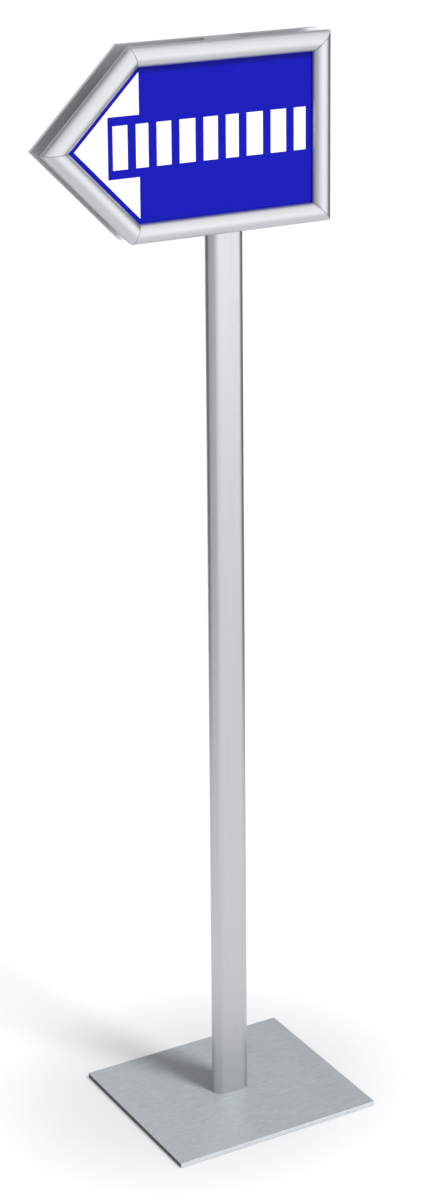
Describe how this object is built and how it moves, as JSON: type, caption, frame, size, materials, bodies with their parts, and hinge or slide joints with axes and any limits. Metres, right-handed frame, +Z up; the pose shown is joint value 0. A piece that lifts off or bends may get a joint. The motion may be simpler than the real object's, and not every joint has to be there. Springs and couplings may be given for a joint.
{
  "type": "sign stand",
  "caption": "Free-standing directional sign stand: a double-sided arrow-shaped snap frame on a flat oval pole, on a flat rectangular base plate.",
  "frame": {"origin": "centre of the base's underside, directly under the pole", "axes": "+Z up along the pole; the sign's front faces -Y and its rear +Y; the arrow points to -X"},
  "size_m": [0.4035, 0.258, 1.424],
  "materials": {
    "anodised_cover": "satin silver anodised extrusion",
    "anodised_profile": "satin silver anodised extrusion",
    "anodised_pole": "satin silver anodised extrusion",
    "brushed_steel_plate": "fine brushed",
    "foam_underlay": "matt foam",
    "steel_bolt": "blackened",
    "cap_plastic": "moulded",
    "back_board": "matt sheet",
    "poster_paper": "printed",
    "clear_film": "clear gloss sheet",
    "zinc_plated_steel": "zinc plated",
    "spring_steel": "blued spring steel"
  },
  "bodies": {
    "stand": {"base_plate": "brushed_steel_plate", "base_underlay": "foam_underlay", "base_bolts": "steel_bolt", "pole": "anodised_pole", "pole_cap": "cap_plastic", "front_top_profile": "anodised_profile", "front_upper_head_profile": "anodised_profile", "front_lower_head_profile": "anodised_profile", "front_bottom_profile": "anodised_profile", "front_end_profile": "anodised_profile", "front_back_panel": "back_board", "front_poster": "poster_paper", "front_clear_sheet": "clear_film", "front_corner_keys": "zinc_plated_steel", "front_cover_springs": "spring_steel", "front_frame_screws": "zinc_plated_steel", "rear_top_profile": "anodised_profile", "rear_upper_head_profile": "anodised_profile", "rear_lower_head_profile": "anodised_profile", "rear_bottom_profile": "anodised_profile", "rear_end_profile": "anodised_profile", "rear_back_panel": "back_board", "rear_poster": "poster_paper", "rear_clear_sheet": "clear_film", "rear_corner_keys": "zinc_plated_steel", "rear_cover_springs": "spring_steel", "rear_frame_screws": "zinc_plated_steel"},
    "front_top_cover": {"front_top_cover": "anodised_cover"},
    "front_upper_head_cover": {"front_upper_head_cover": "anodised_cover"},
    "front_lower_head_cover": {"front_lower_head_cover": "anodised_cover"},
    "front_bottom_cover": {"front_bottom_cover": "anodised_cover"},
    "front_end_cover": {"front_end_cover": "anodised_cover"},
    "rear_top_cover": {"rear_top_cover": "anodised_cover"},
    "rear_upper_head_cover": {"rear_upper_head_cover": "anodised_cover"},
    "rear_lower_head_cover": {"rear_lower_head_cover": "anodised_cover"},
    "rear_bottom_cover": {"rear_bottom_cover": "anodised_cover"},
    "rear_end_cover": {"rear_end_cover": "anodised_cover"}
  },
  "joints": [
    {"name": "front_top_cover_hinge", "type": "hinge", "parent": "stand", "child": "front_top_cover", "pos_m": [0.003, -0.0169, 1.422], "axis": [-1, 0, 0], "range_deg": [0, 80]},
    {"name": "front_upper_head_cover_hinge", "type": "hinge", "parent": "stand", "child": "front_upper_head_cover", "pos_m": [-0.19557, -0.0169, 1.3626], "axis": [-0.7011, 0, -0.713], "range_deg": [0, 80]},
    {"name": "front_lower_head_cover_hinge", "type": "hinge", "parent": "stand", "child": "front_lower_head_cover", "pos_m": [-0.19557, -0.0169, 1.2454], "axis": [0.7011, 0, -0.713], "range_deg": [0, 80]},
    {"name": "front_bottom_cover_hinge", "type": "hinge", "parent": "stand", "child": "front_bottom_cover", "pos_m": [0.003, -0.0169, 1.186], "axis": [1, 0, 0], "range_deg": [0, 80]},
    {"name": "front_end_cover_hinge", "type": "hinge", "parent": "stand", "child": "front_end_cover", "pos_m": [0.142, -0.0169, 1.304], "axis": [0, 0, 1], "range_deg": [0, 80]},
    {"name": "rear_top_cover_hinge", "type": "hinge", "parent": "stand", "child": "rear_top_cover", "pos_m": [0.003, 0.0169, 1.422], "axis": [1, 0, 0], "range_deg": [0, 80]},
    {"name": "rear_upper_head_cover_hinge", "type": "hinge", "parent": "stand", "child": "rear_upper_head_cover", "pos_m": [-0.19557, 0.0169, 1.3626], "axis": [0.7011, 0, 0.713], "range_deg": [0, 80]},
    {"name": "rear_lower_head_cover_hinge", "type": "hinge", "parent": "stand", "child": "rear_lower_head_cover", "pos_m": [-0.19557, 0.0169, 1.2454], "axis": [-0.7011, 0, 0.713], "range_deg": [0, 80]},
    {"name": "rear_bottom_cover_hinge", "type": "hinge", "parent": "stand", "child": "rear_bottom_cover", "pos_m": [0.003, 0.0169, 1.186], "axis": [-1, 0, 0], "range_deg": [0, 80]},
    {"name": "rear_end_cover_hinge", "type": "hinge", "parent": "stand", "child": "rear_end_cover", "pos_m": [0.142, 0.0169, 1.304], "axis": [0, 0, -1], "range_deg": [0, 80]}
  ]
}
